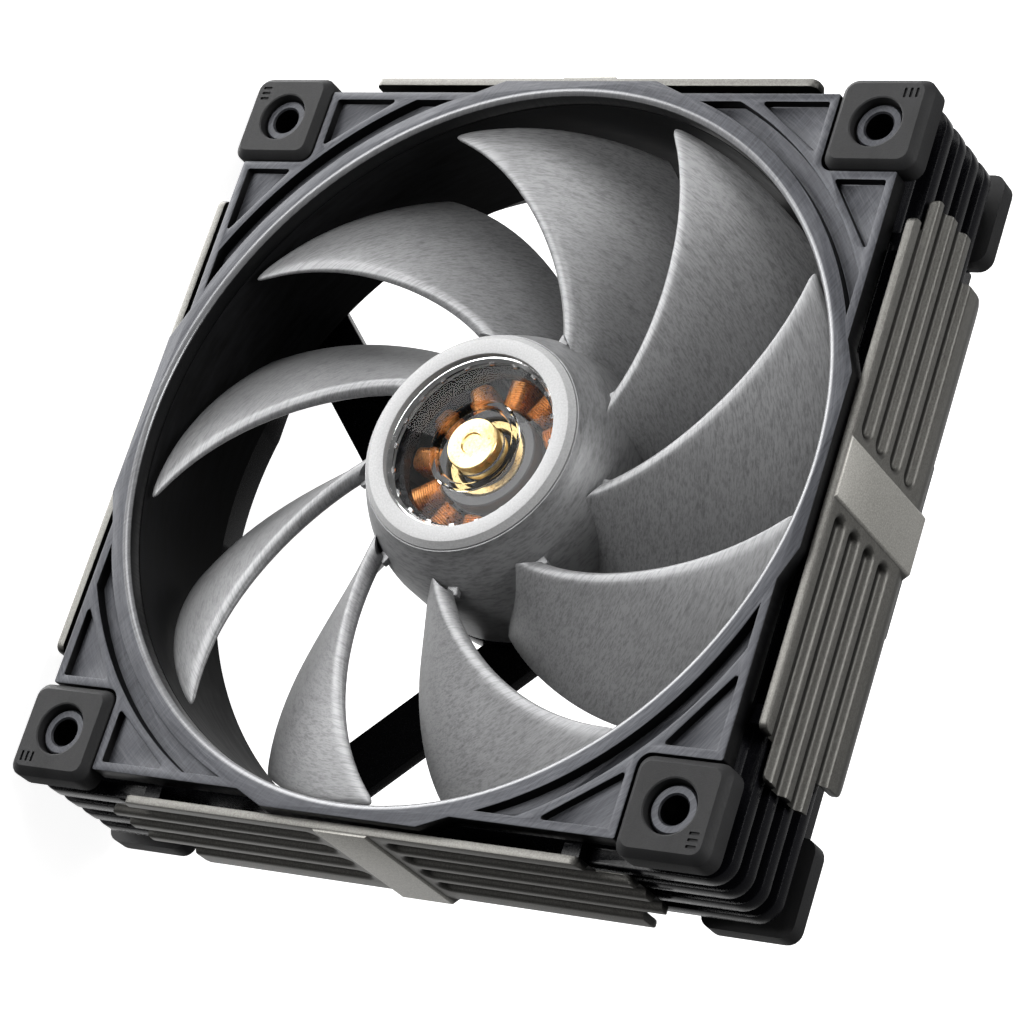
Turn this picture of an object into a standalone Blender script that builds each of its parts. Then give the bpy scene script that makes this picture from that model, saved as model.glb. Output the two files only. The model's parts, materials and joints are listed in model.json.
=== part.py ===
"""A 120 mm case fan that stands upright on its side plate, as separate pieces, in metres.

The pieces are modelled in the fan's own frame, in millimetres times MM: local +Z runs along the
rotor's axis and out of the intake face, local Z = 0 is the plane of the front pads, and local +X
points to the upper side plate. The empty fan_frame turns that frame so that the intake faces -Y
and the lower side plate stands on Z = 0.
"""

import math

import bmesh
import bpy
from mathutils import Matrix, Vector

MM = 0.001
GAP = 0.3  # between pieces that touch on the real fan

# Frame
PAD_HALF = 60.0  # half the size over the corner pads
THICKNESS = 31.8  # over the front and rear pads
SCREW_OFFSET = 52.5  # screw holes from the axis, on each side
SCREW_RADIUS = 2.15
BOSS_RADIUS = 3.6
FACE_HALF = 57.7  # half the size of the bezel beside the pads
BULGE_HALF = 59.8  # half the size of the bezel at mid-side
BULGE_FLAT = 13.4  # the bulge is flat this far from mid-side
BULGE_END = 18.3  # and has gone by here
DUCT_RADIUS = 57.5
DUCT_STEPS = 60
RIM_RADIUS = 58.6
BEZEL_FRONT, BEZEL_BACK = -1.0, -4.3
FRAME_FRONT, FRAME_BACK = -4.6, -30.8
RECESS_DEPTH = 1.0
FLARE_FRONT, FLARE_HALF, FLARE_CORNER = -26.0, 56.5, 42.0

# Corner pads and the ribs between them
PAD_INNER = 45.3
PAD_DEPTH = 4.3
PAD_CHAMFER = 1.0
PAD_CORNER = 2.0
PAD_HOLE = 3.95
POCKET_INNER = 45.0
RIB_HALF, RIB_ROOT_HALF = 59.5, 57.0
RIB_START = 36.5
RIB_CORNER = 3.5
RIB_FIRST, RIB_PITCH, RIB_THICKNESS, RIBS = -8.9, 4.75, 2.6, 4

# Side plates
PLATE_INNER, PLATE_RIDGE, PLATE_BAND = 60.1, 61.45, 61.8
PLATE_FRONT, PLATE_BACK = -2.9, -28.9
PLATE_LONG, PLATE_SHORT = 44.8, 39.2  # half lengths of the middle strip and of the outer strips
PLATE_STEPS = (-7.7, -20.8)  # the middle strip lies between these depths
BAND_HALF = 4.4
GROOVE_END = 6.3
GROOVE_DEPTH = 0.85
RIDGES_BACK = (-5.2, -10.0, -15.0, -20.0)  # back edge of each narrow ridge
GROOVE_WIDTH = 3.2

# Rotor
BLADES = 9
BLADE_PHASE = 33.9  # direction of one blade's leading tip, in degrees
TIP_RADIUS = 56.4
HUB_RADIUS = 22.0
HUB_BACK = -25.8
HUB_STEPS = 45
RING_INNER, RING_OUTER = 14.1, 17.4
RING_FRONT, RING_BACK = -2.3, -4.0
SHAFT_RADIUS = 1.5
SHAFT_CLEARANCE = 0.06

# Motor
STATOR_TEETH = 12
STATOR_RADIUS = 16.9
STATOR_FRONT, STATOR_BACK = -11.5, -19.5
COIL_PHASE = -1.0  # direction of the first tooth, in degrees
MAGNET_RADII = (17.5, 18.6)
YOKE_RADII = (18.9, 20.0)
TUBE_RADII = (4.9, 6.27)
BASE_RADIUS = 21.9
BASE_RIM, BASE_FLOOR, BASE_BACK = -26.6, -27.6, -30.6
STRUT_OFFSETS = (12.2, 21.4)  # a strut's two edges from the axis
STRUT_FRONT, STRUT_BACK = -28.0, -30.3
STRUT_TURNS = 4


def clear_scene():
    for obj in list(bpy.data.objects):
        bpy.data.objects.remove(obj, do_unlink=True)


def new_collection(name):
    collection = bpy.data.collections.new(name)
    bpy.context.scene.collection.children.link(collection)
    return collection


def make_material(name, color, roughness, metallic=0.0, transmission=0.0):
    material = bpy.data.materials.new(name)
    material.use_nodes = True
    shader = material.node_tree.nodes["Principled BSDF"]
    shader.inputs["Base Color"].default_value = (*color, 1.0)
    shader.inputs["Roughness"].default_value = roughness
    shader.inputs["Metallic"].default_value = metallic
    shader.inputs["Transmission Weight"].default_value = transmission
    return material


clear_scene()
FAN = new_collection("case_fan")
CUTTERS = new_collection("cutters")

FACE_PLASTIC = make_material("brushed_dark_plastic", (0.12, 0.12, 0.14), 0.4, 0.3)
BLACK_PLASTIC = make_material("black_plastic", (0.012, 0.012, 0.014), 0.45)
RUBBER = make_material("rubber", (0.035, 0.035, 0.036), 0.75)
PLATE_METAL = make_material("champagne_metal", (0.36, 0.34, 0.3), 0.35, 1.0)
BLADE_PLASTIC = make_material("grey_blade_plastic", (0.2, 0.2, 0.21), 0.45, 0.2)
RING_METAL = make_material("satin_ring", (0.72, 0.72, 0.72), 0.35, 0.6)
CLEAR = make_material("clear_plastic", (0.9, 0.9, 0.9), 0.05, 0.0, 0.95)
BRASS = make_material("brass", (0.85, 0.66, 0.3), 0.2, 1.0)
STEEL = make_material("steel", (0.55, 0.55, 0.56), 0.3, 1.0)
COPPER = make_material("copper_wire", (0.62, 0.3, 0.12), 0.35, 1.0)
FERRITE = make_material("ferrite", (0.05, 0.05, 0.055), 0.6)
INSULATOR = make_material("grey_insulator", (0.14, 0.14, 0.145), 0.5)
BOARD = make_material("circuit_board", (0.01, 0.06, 0.03), 0.5)

# The fan's frame in the world: local +X up, local +Z towards -Y, the lower plate's band at Z = 0
fan_frame = bpy.data.objects.new("fan_frame", None)
FAN.objects.link(fan_frame)
fan_frame.matrix_world = Matrix.Translation((0, -THICKNESS / 2 * MM, PLATE_BAND * MM)) @ Matrix(
    ((0, -1, 0), (0, 0, -1), (1, 0, 0))
).to_4x4()

rotor_axis = bpy.data.objects.new("rotor_axis", None)
FAN.objects.link(rotor_axis)
rotor_axis.parent = fan_frame


def new_object(name, mesh, material, parent=fan_frame, collection=FAN, turn=0.0):
    """An object in the fan's frame, turned about the rotor's axis by an angle in degrees."""
    obj = bpy.data.objects.new(name, mesh)
    collection.objects.link(obj)
    obj.parent = parent
    obj.rotation_euler = (0, 0, math.radians(turn))
    if material:
        mesh.materials.clear()
        mesh.materials.append(material)
    mesh.shade_smooth()
    mesh.set_sharp_from_angle(angle=math.radians(32))
    return obj


def polar(radius, degrees):
    angle = math.radians(degrees)
    return (radius * math.cos(angle), radius * math.sin(angle))


def circle(radius, steps, centre=(0.0, 0.0)):
    return [
        (centre[0] + x, centre[1] + y)
        for x, y in (polar(radius, 360 * i / steps) for i in range(steps))
    ]


def rounded_rectangle(low, high, radius, steps=4):
    """Corner points of a rectangle from low to high, with each corner an arc."""
    centres = (
        (high[0] - radius, high[1] - radius, 0),
        (low[0] + radius, high[1] - radius, 90),
        (low[0] + radius, low[1] + radius, 180),
        (high[0] - radius, low[1] + radius, 270),
    )
    points = []
    for x, y, start in centres:
        for i in range(steps + 1):
            dx, dy = polar(radius, start + 90 * i / steps)
            points.append((x + dx, y + dy))
    return points


def four_sides(side):
    """A closed outline from one side's points, corner to corner past +X, repeated by quarter turns."""
    points = []
    for quarter in range(4):
        turn = Matrix.Rotation(math.radians(90 * quarter), 2)
        points += [tuple(turn @ Vector(point)) for point in side]
    return points


def extruded_mesh(loops, low, high):
    """A flat outline with its holes, from one height to another along local Z."""
    work = bmesh.new()
    if len(loops) == 1:
        corners = [work.verts.new((x * MM, y * MM, low * MM)) for x, y in loops[0]]
        floor = work.faces.new(corners)
        lifted = bmesh.ops.extrude_face_region(work, geom=[floor])["geom"]
        lifted = [item for item in lifted if isinstance(item, bmesh.types.BMVert)]
        bmesh.ops.translate(work, verts=lifted, vec=(0, 0, (high - low) * MM))
    else:
        work.from_mesh(filled_curve_mesh(loops, (high - low) / 2))
        bmesh.ops.remove_doubles(work, verts=work.verts, dist=1e-7)
        bmesh.ops.translate(work, verts=work.verts, vec=(0, 0, (low + high) / 2 * MM))
    bmesh.ops.recalc_face_normals(work, faces=work.faces)
    mesh = bpy.data.meshes.new("extruded")
    work.to_mesh(mesh)
    work.free()
    return mesh


def filled_curve_mesh(loops, half_height):
    """The mesh of a 2D curve whose inner loops are holes."""
    curve = bpy.data.curves.new("outline", "CURVE")
    curve.dimensions = "2D"
    curve.fill_mode = "BOTH"
    curve.extrude = half_height * MM
    for loop in loops:
        spline = curve.splines.new("POLY")
        spline.points.add(len(loop) - 1)
        for point, (x, y) in zip(spline.points, loop):
            point.co = (x * MM, y * MM, 0, 1)
        spline.use_cyclic_u = True
    guide = bpy.data.objects.new("outline", curve)
    FAN.objects.link(guide)
    bpy.context.view_layer.update()
    graph = bpy.context.evaluated_depsgraph_get()
    mesh = bpy.data.meshes.new_from_object(guide.evaluated_get(graph))
    bpy.data.objects.remove(guide, do_unlink=True)
    return mesh


def turned(name, profile, material, parent=fan_frame, steps=32, collection=FAN):
    """A ring or disc from its closed (radius, height) profile, outer side first and running down."""
    mesh = bpy.data.meshes.new(name)
    points = [(radius * MM, 0, height * MM) for radius, height in profile]
    pairs = [(i, (i + 1) % len(points)) for i in range(len(points))]
    off_axis = [pair for pair in pairs if points[pair[0]][0] > 0 or points[pair[1]][0] > 0]
    mesh.from_pydata(points, off_axis, [])
    obj = new_object(name, mesh, material, parent, collection)
    screw = obj.modifiers.new("turn", "SCREW")
    screw.steps = screw.render_steps = steps
    screw.use_merge_vertices = True
    screw.merge_threshold = 1e-6
    screw.use_smooth_shade = True
    return obj


def hide_cutter(obj):
    obj.hide_render = True
    obj.display_type = "WIRE"
    return obj


def cutter(name, mesh, turn=0.0, parent=fan_frame):
    return hide_cutter(new_object(name, mesh, None, parent, CUTTERS, turn))


def combine(obj, other, operation):
    modifier = obj.modifiers.new(other.name, "BOOLEAN")
    modifier.operation = operation
    modifier.object = other


def front_outline(corner_cut):
    """The frame's outline seen from the front: bulged at mid-side, with the corners cut back or square."""
    side = [(BULGE_HALF, -BULGE_FLAT), (BULGE_HALF, BULGE_FLAT), (FACE_HALF, BULGE_END)]
    start = [(FACE_HALF, -BULGE_END)]
    if corner_cut:
        # The pocket's two outer corners, and its inner corner as an arc.
        arc = [polar(PAD_CORNER, 270 - 90 * i / 3) for i in range(4)]
        inner = [(POCKET_INNER + PAD_CORNER + x, POCKET_INNER + PAD_CORNER + y) for x, y in arc]
        return four_sides([*start, *side, (FACE_HALF, POCKET_INNER), *inner, (POCKET_INNER, FACE_HALF)])
    arc = [polar(RIB_CORNER, 90 * i / 3) for i in range(4)]
    rib = [(RIB_HALF - RIB_CORNER + x, RIB_HALF - RIB_CORNER + y) for x, y in arc]
    return four_sides(
        [
            (RIB_HALF, -RIB_START),
            (FACE_HALF, -RIB_START),
            *start,
            *side,
            (FACE_HALF, RIB_START),
            (RIB_HALF, RIB_START),
            *rib,
        ]
    )


def add_front_bezel():
    """The face plate with its rim and its recesses: two triangles and a crescent at each corner."""
    mesh = extruded_mesh([front_outline(corner_cut=True)], BEZEL_BACK, BEZEL_FRONT)
    bezel = new_object("front_bezel", mesh, FACE_PLASTIC)
    inlet = [
        (RIM_RADIUS + 0.8, 0),
        (RIM_RADIUS, BEZEL_FRONT),
        (DUCT_RADIUS, BEZEL_FRONT - 1.3),
        (DUCT_RADIUS, BEZEL_BACK - 1),
        (0, BEZEL_BACK - 1),
        (0, 0),
    ]
    triangle = [(48.0, 43.5), (56.3, 43.7), (56.4, 32.4)]
    mirrored = [(y, x) for x, y in reversed(triangle)]
    low, high = BEZEL_FRONT - RECESS_DEPTH, BEZEL_FRONT + 1
    for corner in range(4):
        for side, points in (("a", triangle), ("b", mirrored)):
            recess = cutter(f"triangle_{corner}{side}", extruded_mesh([points], low, high), 90 * corner)
            combine(bezel, recess, "DIFFERENCE")
        crescent = cutter(f"crescent_{corner}", extruded_mesh([crescent_outline()], low, high), 90 * corner)
        combine(bezel, crescent, "DIFFERENCE")
    throat = turned("inlet", inlet, None, steps=DUCT_STEPS, collection=CUTTERS)
    combine(bezel, hide_cutter(throat), "DIFFERENCE")


def crescent_outline():
    """Between two circles about the axis, and clipped by the bezel's edge strips."""
    inner, outer, limit = 60.4, 63.2, 56.3
    start_inner = math.degrees(math.acos(limit / inner))
    start_outer = math.degrees(math.acos(limit / outer))
    out = [polar(outer, start_outer + (90 - 2 * start_outer) * i / 10) for i in range(11)]
    back = [polar(inner, start_inner + (90 - 2 * start_inner) * i / 12) for i in range(12, -1, -1)]
    return out + back


def rib_gap_outline():
    """A ring round the frame that bites to the ribs' roots near the corners and clears the sides."""
    outer = rounded_rectangle((-62, -62), (62, 62), 4, 1)
    corner = [polar(RIB_CORNER, 90 * i / 3) for i in range(4)]
    root = [(RIB_ROOT_HALF - RIB_CORNER + x, RIB_ROOT_HALF - RIB_CORNER + y) for x, y in corner]
    start = RIB_START - 0.5
    side = [(RIB_ROOT_HALF, -start), (60.5, -start), (60.5, start), (RIB_ROOT_HALF, start)]
    return [outer, four_sides([*side, *root])]


def add_main_frame():
    """The duct with its ribbed corner posts, four struts and the motor base, in one moulding."""
    mesh = extruded_mesh([front_outline(corner_cut=False)], FRAME_BACK, FRAME_FRONT)
    frame = new_object("main_frame", mesh, BLACK_PLASTIC)
    bore = [(DUCT_RADIUS, 0), (DUCT_RADIUS, FRAME_BACK - 2), (0, FRAME_BACK - 2), (0, 0)]
    duct = turned("duct_bore", bore, None, steps=DUCT_STEPS, collection=CUTTERS)
    combine(frame, hide_cutter(duct), "DIFFERENCE")

    # Grooves between the ribs, from the front pads to the rear pads
    edges = [FRAME_FRONT + 1]
    for i in range(RIBS):
        centre = RIB_FIRST - RIB_PITCH * i
        edges += [centre + RIB_THICKNESS / 2, centre - RIB_THICKNESS / 2]
    edges.append(-THICKNESS + PAD_DEPTH - 0.5)
    for i in range(0, len(edges), 2):
        gap = cutter(f"rib_gap_{i // 2}", extruded_mesh(rib_gap_outline(), edges[i + 1], edges[i]))
        combine(frame, gap, "DIFFERENCE")

    # Rear pad pockets, each round a boss, and the outlet's flare
    pocket_front = -THICKNESS + PAD_DEPTH + GAP
    boss = circle(BOSS_RADIUS, 14, (SCREW_OFFSET, SCREW_OFFSET))
    pocket = [rounded_rectangle((POCKET_INNER, POCKET_INNER), (64, 64), PAD_CORNER, 2), boss]
    for corner in range(4):
        mesh = extruded_mesh(pocket, FRAME_BACK - 1, pocket_front)
        combine(frame, cutter(f"rear_pocket_{corner}", mesh, 90 * corner), "DIFFERENCE")
    flare = rounded_rectangle((-FLARE_HALF, -FLARE_HALF), (FLARE_HALF, FLARE_HALF), FLARE_CORNER, 7)
    combine(frame, cutter("flare", extruded_mesh([flare], FRAME_BACK - 1, FLARE_FRONT)), "DIFFERENCE")

    # Front bosses, then the screw holes through both bosses
    for corner in range(4):
        mesh = extruded_mesh([boss], FRAME_FRONT - 1, BEZEL_FRONT - 0.2)
        combine(frame, cutter(f"front_boss_{corner}", mesh, 90 * corner), "UNION")
    for corner in range(4):
        hole = circle(SCREW_RADIUS, 12, (SCREW_OFFSET, SCREW_OFFSET))
        mesh = extruded_mesh([hole], FRAME_BACK - 1, 0)
        combine(frame, cutter(f"screw_hole_{corner}", mesh, 90 * corner), "DIFFERENCE")

    # Struts, tangent to the motor base
    near, far = STRUT_OFFSETS
    wall = (FLARE_HALF + 0.4) * math.sqrt(2)
    for i in range(STRUT_TURNS):
        strut = [(near, 0), (far, 0), (far, -(wall - far)), (near, -(wall - near))]
        mesh = extruded_mesh([strut], STRUT_BACK, STRUT_FRONT)
        combine(frame, cutter(f"strut_{i}", mesh, 90 * i - 45), "UNION")
    base = turned(
        "motor_base",
        [
            (BASE_RADIUS, BASE_RIM),
            (BASE_RADIUS, BASE_BACK),
            (0, BASE_BACK),
            (0, BASE_BACK + 0.6),
            (TUBE_RADII[1] + GAP, BASE_BACK + 0.6),
            (TUBE_RADII[1] + GAP, BASE_RIM - 0.4),
            (8.0, BASE_RIM - 0.4),
            (8.0, BASE_FLOOR),
            (BASE_RADIUS - 1.5, BASE_FLOOR),
            (BASE_RADIUS - 1.5, BASE_RIM),
        ],
        None,
        collection=CUTTERS,
    )
    combine(frame, hide_cutter(base), "UNION")

    # Notch where the lead leaves the motor base
    notch = rounded_rectangle((BASE_RADIUS - 2.5, -1.6), (BASE_RADIUS + 1, 1.6), 0.4)
    lead_exit = cutter("lead_exit", extruded_mesh([notch], BASE_FLOOR + 0.3, BASE_RIM + 1), 90)
    combine(frame, lead_exit, "DIFFERENCE")


def add_pads():
    """Rubber corner pads, chamfered round their outer face, with a hole for the screw boss."""
    outline = rounded_rectangle((PAD_INNER, PAD_INNER), (PAD_HALF, PAD_HALF), PAD_CORNER, 2)
    inset = rounded_rectangle(
        (PAD_INNER + PAD_CHAMFER, PAD_INNER + PAD_CHAMFER),
        (PAD_HALF - PAD_CHAMFER, PAD_HALF - PAD_CHAMFER),
        PAD_CORNER - PAD_CHAMFER + 0.2,
        2,
    )
    work = bmesh.new()
    rings = []
    for loop, depth in ((outline, PAD_DEPTH), (outline, PAD_CHAMFER), (inset, 0)):
        rings.append([work.verts.new((x * MM, y * MM, -depth * MM)) for x, y in loop])
    for below, above in zip(rings, rings[1:]):
        for i in range(len(below)):
            j = (i + 1) % len(below)
            work.faces.new((below[i], below[j], above[j], above[i]))
    work.faces.new(reversed(rings[0]))
    work.faces.new(rings[-1])
    mesh = bpy.data.meshes.new("pad")
    work.to_mesh(mesh)
    work.free()
    hole = extruded_mesh([circle(PAD_HOLE, 16, (SCREW_OFFSET, SCREW_OFFSET))], -PAD_DEPTH - 1, 1)
    for corner in range(4):
        front = new_object(f"front_pad_{corner + 1}", mesh.copy(), RUBBER, turn=90 * corner)
        combine(front, cutter(f"front_pad_hole_{corner}", hole.copy(), 90 * corner), "DIFFERENCE")

        # The rear pad is the front pad turned over about the corner's diagonal.
        rear_mesh = mesh.copy()
        rear_mesh.transform(Matrix.Translation((0, 0, -THICKNESS * MM)) @ over_the_diagonal())
        rear = new_object(f"rear_pad_{corner + 1}", rear_mesh, RUBBER, turn=90 * corner)
        rear_hole = extruded_mesh(
            [circle(PAD_HOLE, 16, (SCREW_OFFSET, SCREW_OFFSET))], -THICKNESS - 1, -THICKNESS + PAD_DEPTH + 1
        )
        combine(rear, cutter(f"rear_pad_hole_{corner}", rear_hole, 90 * corner), "DIFFERENCE")


def over_the_diagonal():
    """A half turn about the line through the corner at 45 degrees."""
    return Matrix.Rotation(math.pi, 4, Vector((1, 1, 0)))


def add_side_plates():
    """Grooved covers: a long middle strip, two shorter outer strips and a plain band across the middle."""
    section = [
        (PLATE_INNER, PLATE_BACK),
        (PLATE_RIDGE - 0.8, PLATE_BACK),
        (PLATE_RIDGE, PLATE_BACK + 3.0),
        (PLATE_RIDGE, PLATE_FRONT),
        (PLATE_INNER, PLATE_FRONT),
    ]
    lay_along_side = Matrix.Rotation(math.radians(90), 4, "X")
    for side in range(4):
        mesh = extruded_mesh([section], -PLATE_LONG, PLATE_LONG)
        mesh.transform(lay_along_side)
        plate = new_object(f"side_plate_{side + 1}", mesh, PLATE_METAL, turn=90 * side)

        # Grooves that stop short of the band
        floor, slope, reach = PLATE_RIDGE - GROOVE_DEPTH, 0.4, PLATE_LONG - GROOVE_END + 1
        for number, back in enumerate(RIDGES_BACK):
            groove = [
                (floor, back - slope),
                (floor + 2 * GROOVE_DEPTH, back + slope),
                (floor + 2 * GROOVE_DEPTH, back - GROOVE_WIDTH - slope),
                (floor, back - GROOVE_WIDTH + slope),
            ]
            for end in (-1, 1):
                middle = end * (GROOVE_END + reach / 2)
                mesh = extruded_mesh([groove], -middle - reach / 2, -middle + reach / 2)
                mesh.transform(lay_along_side)
                combine(plate, cutter(f"groove_{side}_{number}_{end}", mesh, 90 * side), "DIFFERENCE")

        base = PLATE_INNER + GAP
        base_half = BAND_HALF + PLATE_BAND - base
        band = [(base, -base_half), (PLATE_BAND, -BAND_HALF), (PLATE_BAND, BAND_HALF), (base, base_half)]
        band_mesh = extruded_mesh([band], PLATE_BACK + GAP, PLATE_FRONT - GAP)
        combine(plate, cutter(f"band_{side}", band_mesh, 90 * side), "UNION")
        for end in (-1, 1):
            for name, low, high in (
                ("front", PLATE_STEPS[0], 0.0),
                ("rear", -THICKNESS, PLATE_STEPS[1]),
            ):
                limits = sorted((end * PLATE_SHORT, end * (PLATE_LONG + 1)))
                block = [(59, limits[0]), (63, limits[0]), (63, limits[1]), (59, limits[1])]
                cut = cutter(f"end_{name}_{side}_{end}", extruded_mesh([block], low, high), 90 * side)
                combine(plate, cut, "DIFFERENCE")


def hub_radius(height):
    """The hub's outer surface: a bowl that opens from the ring into a cylinder."""
    top, skirt = -4.3, -15.0
    if height <= skirt:
        return HUB_RADIUS
    depth = (height - skirt) / (top - skirt)
    return HUB_RADIUS - 4.0 * depth**1.75


def leading_edge(radius):
    """Angle and height of the leading edge, relative to its tip's direction."""
    inward = (TIP_RADIUS - radius) / 36.0
    angle = -0.3 - 42.5 * inward + 19.0 * inward**2 - 20.1 * inward**3
    height = -4.4 - 0.6 * inward - 6.8 * inward**2 + 3.8 * inward**3
    return angle, height


def trailing_edge(radius):
    inward = (TIP_RADIUS - radius) / 34.4
    angle = -32.2 - 42.7 * inward + 23.4 * inward**2 - 22.7 * inward**3
    height = -18.0 - 9.6 * inward + 8.9 * inward**2 - 5.0 * inward**3
    return angle, height


def blade_point(radius, chord, side):
    """A point of the blade's upper (side 1) or lower (side -1) surface, at a fraction of its chord."""
    (angle_1, height_1), (angle_2, height_2) = leading_edge(radius), trailing_edge(radius)
    span = (TIP_RADIUS - radius) / (TIP_RADIUS - HUB_RADIUS)
    along = Vector((math.radians(angle_2 - angle_1) * radius, height_2 - height_1))
    normal = Vector((along.y, -along.x)).normalized()
    camber = (0.055 - 0.02 * span) * along.length * 4 * chord * (1 - chord)
    thickness = 1.2 + 1.9 * span
    foil = 2.969 * math.sqrt(chord) - 1.26 * chord - 3.516 * chord**2 + 2.843 * chord**3 - 1.0 * chord**4
    offset = camber + side * (thickness / 2 * foil + 0.16 * chord)
    place = along * chord + normal * offset
    return angle_1 + math.degrees(place.x / radius), height_1 + place.y


def blade_mesh():
    """One blade as a closed loft from just inside the hub's wall to the tip."""
    chords = [(1 - math.cos(math.pi * i / 5)) / 2 for i in range(6)]
    around = [(chord, 1) for chord in chords] + [(chord, -1) for chord in reversed(chords[1:])]
    spans = 5
    work = bmesh.new()
    rings = []
    for step in range(spans + 1):
        ring = []
        for chord, side in around:
            _, height = blade_point(HUB_RADIUS, chord, side)
            root = hub_radius(height) - 0.7
            radius = root + (TIP_RADIUS - root) * step / spans
            angle, height = blade_point(radius, chord, side)
            x, y = polar(radius, angle)
            ring.append(work.verts.new((x * MM, y * MM, height * MM)))
        rings.append(ring)
    for inner, outer in zip(rings, rings[1:]):
        for i in range(len(around)):
            j = (i + 1) % len(around)
            work.faces.new((inner[i], inner[j], outer[j], outer[i]))
    work.faces.new(reversed(rings[0]))
    work.faces.new(rings[-1])
    bmesh.ops.triangulate(work, faces=work.faces)
    bmesh.ops.recalc_face_normals(work, faces=work.faces)
    mesh = bpy.data.meshes.new("blade")
    work.to_mesh(mesh)
    work.free()
    return mesh


def add_impeller():
    """Hub shell and nine blades in one moulding."""
    heights = (-4.3, -6.3, -8.6, -11.4, -15.0)
    outer = [(hub_radius(height), height) for height in heights]
    profile = [
        *outer,
        (HUB_RADIUS, HUB_BACK),
        (20.4, HUB_BACK),
        (20.4, -13.0),
        (19.3, -9.8),
        (17.6, -7.7),
        (12.8, -7.3),
        (12.8, -6.2),
        (13.9, -6.2),
        (13.9, -4.3),
    ]
    impeller = turned("impeller", profile, BLADE_PLASTIC, rotor_axis, steps=HUB_STEPS)
    blade = blade_mesh()
    for i in range(BLADES):
        turn = BLADE_PHASE + 360 / BLADES * i
        combine(impeller, cutter(f"blade_{i}", blade.copy(), turn, rotor_axis), "UNION")


def add_rotor():
    add_impeller()
    ring = [
        (16.5, RING_FRONT),
        (RING_OUTER, RING_FRONT - 0.9),
        (RING_OUTER, RING_BACK),
        (RING_INNER, RING_BACK),
        (RING_INNER, RING_FRONT),
    ]
    turned("hub_ring", ring, RING_METAL, rotor_axis, steps=HUB_STEPS)
    window = [
        (13.6, -3.8),
        (13.6, -5.9),
        (4.5, -5.9),
        (4.5, -4.9),
        (6.2, -4.9),
        (6.4, -4.3),
        (7.5, -4.3),
        (7.7, -4.9),
        (12.9, -4.9),
        (13.1, -3.8),
    ]
    turned("hub_window", window, CLEAR, rotor_axis, steps=HUB_STEPS)
    insert = [
        (4.1, -3.75),
        (4.1, -7.5),
        (SHAFT_RADIUS + GAP, -7.5),
        (SHAFT_RADIUS + GAP, -4.9),
        (0, -4.9),
        (0, -3.75),
    ]
    turned("shaft_insert", insert, BRASS, rotor_axis, steps=32)
    shaft = [(0, -5.2), (SHAFT_RADIUS, -5.2), (SHAFT_RADIUS, -28.0), (0, -28.3)]
    turned("rotor_shaft", shaft, STEEL, rotor_axis, steps=24)
    add_ring("rotor_yoke", YOKE_RADII, (-13.3, -25.2), STEEL, rotor_axis, 32)
    add_ring("rotor_magnet", MAGNET_RADII, (-12.2, -24.8), FERRITE, rotor_axis, 32)
    add_ring("shaft_clip", (SHAFT_RADIUS + GAP, 3.4), (-26.9, -27.4), STEEL, rotor_axis, 24)


def add_ring(name, radii, heights, material, parent=fan_frame, steps=28):
    inner, outer = radii
    top, bottom = heights
    turned(name, [(outer, top), (outer, bottom), (inner, bottom), (inner, top)], material, parent, steps)


def add_bearing():
    add_ring("bearing_tube", TUBE_RADII, (-9.0, -29.6), BRASS)
    sleeve = (SHAFT_RADIUS + SHAFT_CLEARANCE, TUBE_RADII[0] - GAP)
    add_ring("bearing_sleeve", sleeve, (-10.2, -26.5), BRASS, steps=24)
    add_ring("oil_seal", (1.9, TUBE_RADII[0] - GAP), (-9.3, -9.9), RUBBER)
    pad = [(0, -28.7), (TUBE_RADII[0] - GAP, -28.7), (TUBE_RADII[0] - GAP, -29.5), (0, -29.5)]
    turned("thrust_pad", pad, INSULATOR, steps=28)


def add_stator():
    """Laminated core with a shoe on each tooth, a coil round each tooth and a collar above and below."""
    tooth_half, tooth_root, shoe_root = 0.8, 8.5, 15.1
    shoe_half_angle = 11.5
    outline = []
    for i in range(STATOR_TEETH):
        direction = COIL_PHASE + 360 / STATOR_TEETH * i
        flank_root = math.degrees(math.asin(tooth_half / tooth_root))
        flank_tip = math.degrees(math.asin(tooth_half / shoe_root))
        outline.append(polar(tooth_root, direction - flank_root))
        outline.append(polar(shoe_root, direction - flank_tip))
        outline.append(polar(shoe_root + 0.6, direction - shoe_half_angle))
        for step in range(3):
            outline.append(polar(STATOR_RADIUS, direction + shoe_half_angle * (step - 1)))
        outline.append(polar(shoe_root + 0.6, direction + shoe_half_angle))
        outline.append(polar(shoe_root, direction + flank_tip))
        outline.append(polar(tooth_root, direction + flank_root))
    bore = circle(TUBE_RADII[1] + GAP, 24)
    new_object("stator_core", extruded_mesh([outline, bore], STATOR_BACK, STATOR_FRONT), STEEL)

    outer = rounded_rectangle((STATOR_BACK - 1.6, -2.05), (STATOR_FRONT + 1.6, 2.05), 1.6, 2)
    inner = rounded_rectangle((STATOR_BACK - GAP, -1.1), (STATOR_FRONT + GAP, 1.1), 0.2, 1)
    # The outline's first axis becomes the rotor's axis and its extrusion runs outwards along the tooth.
    stand_up = Matrix(((0, 0, 1), (0, -1, 0), (1, 0, 0))).to_4x4()
    for i in range(STATOR_TEETH):
        mesh = extruded_mesh([outer, inner], 8.9, 14.4)
        mesh.transform(stand_up)
        new_object(f"coil_{i + 1:02d}", mesh, COPPER, turn=COIL_PHASE + 360 / STATOR_TEETH * i)
    add_ring("upper_insulator", (TUBE_RADII[1] + GAP, 8.25), (-8.5, STATOR_FRONT + GAP), INSULATOR)
    add_ring("lower_insulator", (TUBE_RADII[1] + GAP, 8.25), (STATOR_BACK - GAP, -24.9), INSULATOR)


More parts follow.
